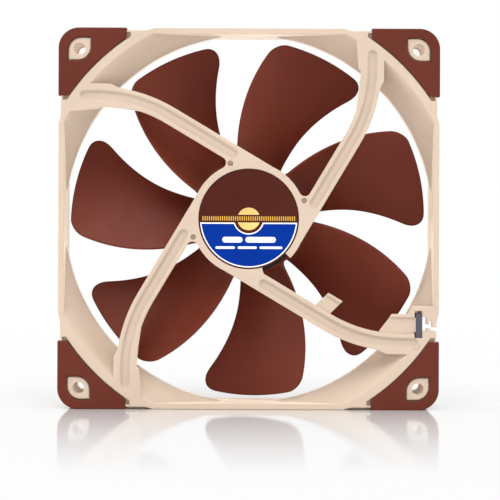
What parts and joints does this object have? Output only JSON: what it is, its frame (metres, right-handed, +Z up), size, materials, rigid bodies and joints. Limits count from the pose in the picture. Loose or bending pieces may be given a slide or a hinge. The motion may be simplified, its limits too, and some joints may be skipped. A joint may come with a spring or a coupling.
{
  "type": "case fan",
  "caption": "Square case fan: open frame with curved grooved struts, rubber corner pads, inner motor, and a free-spinning bladed impeller.",
  "frame": {"origin": "middle of the fan's depth and width, on the plane its lower side stands on", "axes": "+Z up, Y along the impeller's axis: the outlet side with the struts and label faces -Y, the inlet side +Y; X across, to the right seen from the outlet side"},
  "size_m": [0.14, 0.025, 0.14],
  "materials": {
    "frame_plastic": "fine satin moulding, beige",
    "pad_rubber": "satin brown rubber",
    "label_film": "printed film, dark brown with a blue field",
    "black_plastic": "black",
    "grommet_rubber": "dark grey rubber",
    "brass": "turned",
    "sleeve_bronze": "sintered bronze",
    "white_plastic": "natural nylon",
    "core_steel": "laminated electrical steel",
    "copper_wire": "enamelled copper wire",
    "steel": "bright steel",
    "board_green": "solder resist",
    "capacitor_tan": "ceramic chip",
    "impeller_plastic": "satin brown moulding",
    "magnet": "bonded ferrite"
  },
  "bodies": {
    "housing": {"frame": "frame_plastic", "pad_rear_top_left": "pad_rubber", "pad_rear_bottom_left": "pad_rubber", "pad_rear_bottom_right": "pad_rubber", "pad_rear_top_right": "pad_rubber", "pad_front_top_left": "pad_rubber", "pad_front_bottom_left": "pad_rubber", "pad_front_bottom_right": "pad_rubber", "pad_front_top_right": "pad_rubber", "rear_label": "label_film", "cable_gland": "black_plastic", "cable_grommet": "grommet_rubber", "bearing_shell": "brass", "bearing_sleeve": "sleeve_bronze", "dust_seal": "black_plastic", "thrust_pad": "white_plastic", "stator_core": "core_steel", "front_insulator": "white_plastic", "rear_insulator": "white_plastic", "stator_coils": "copper_wire", "coil_pins": "steel", "circuit_board": "board_green", "driver_chip": "black_plastic", "board_capacitor": "capacitor_tan", "board_resistors": "black_plastic"},
    "rotor": {"impeller": "impeller_plastic", "rotor_yoke": "steel", "ring_magnet": "magnet", "shaft": "steel", "shaft_insert": "brass", "retaining_clip": "white_plastic"}
  },
  "joints": [
    {"name": "impeller_spin", "type": "hinge", "parent": "housing", "child": "rotor", "pos_m": [0, 0, 0.07], "axis": [0, 1, 0], "continuous": true}
  ]
}
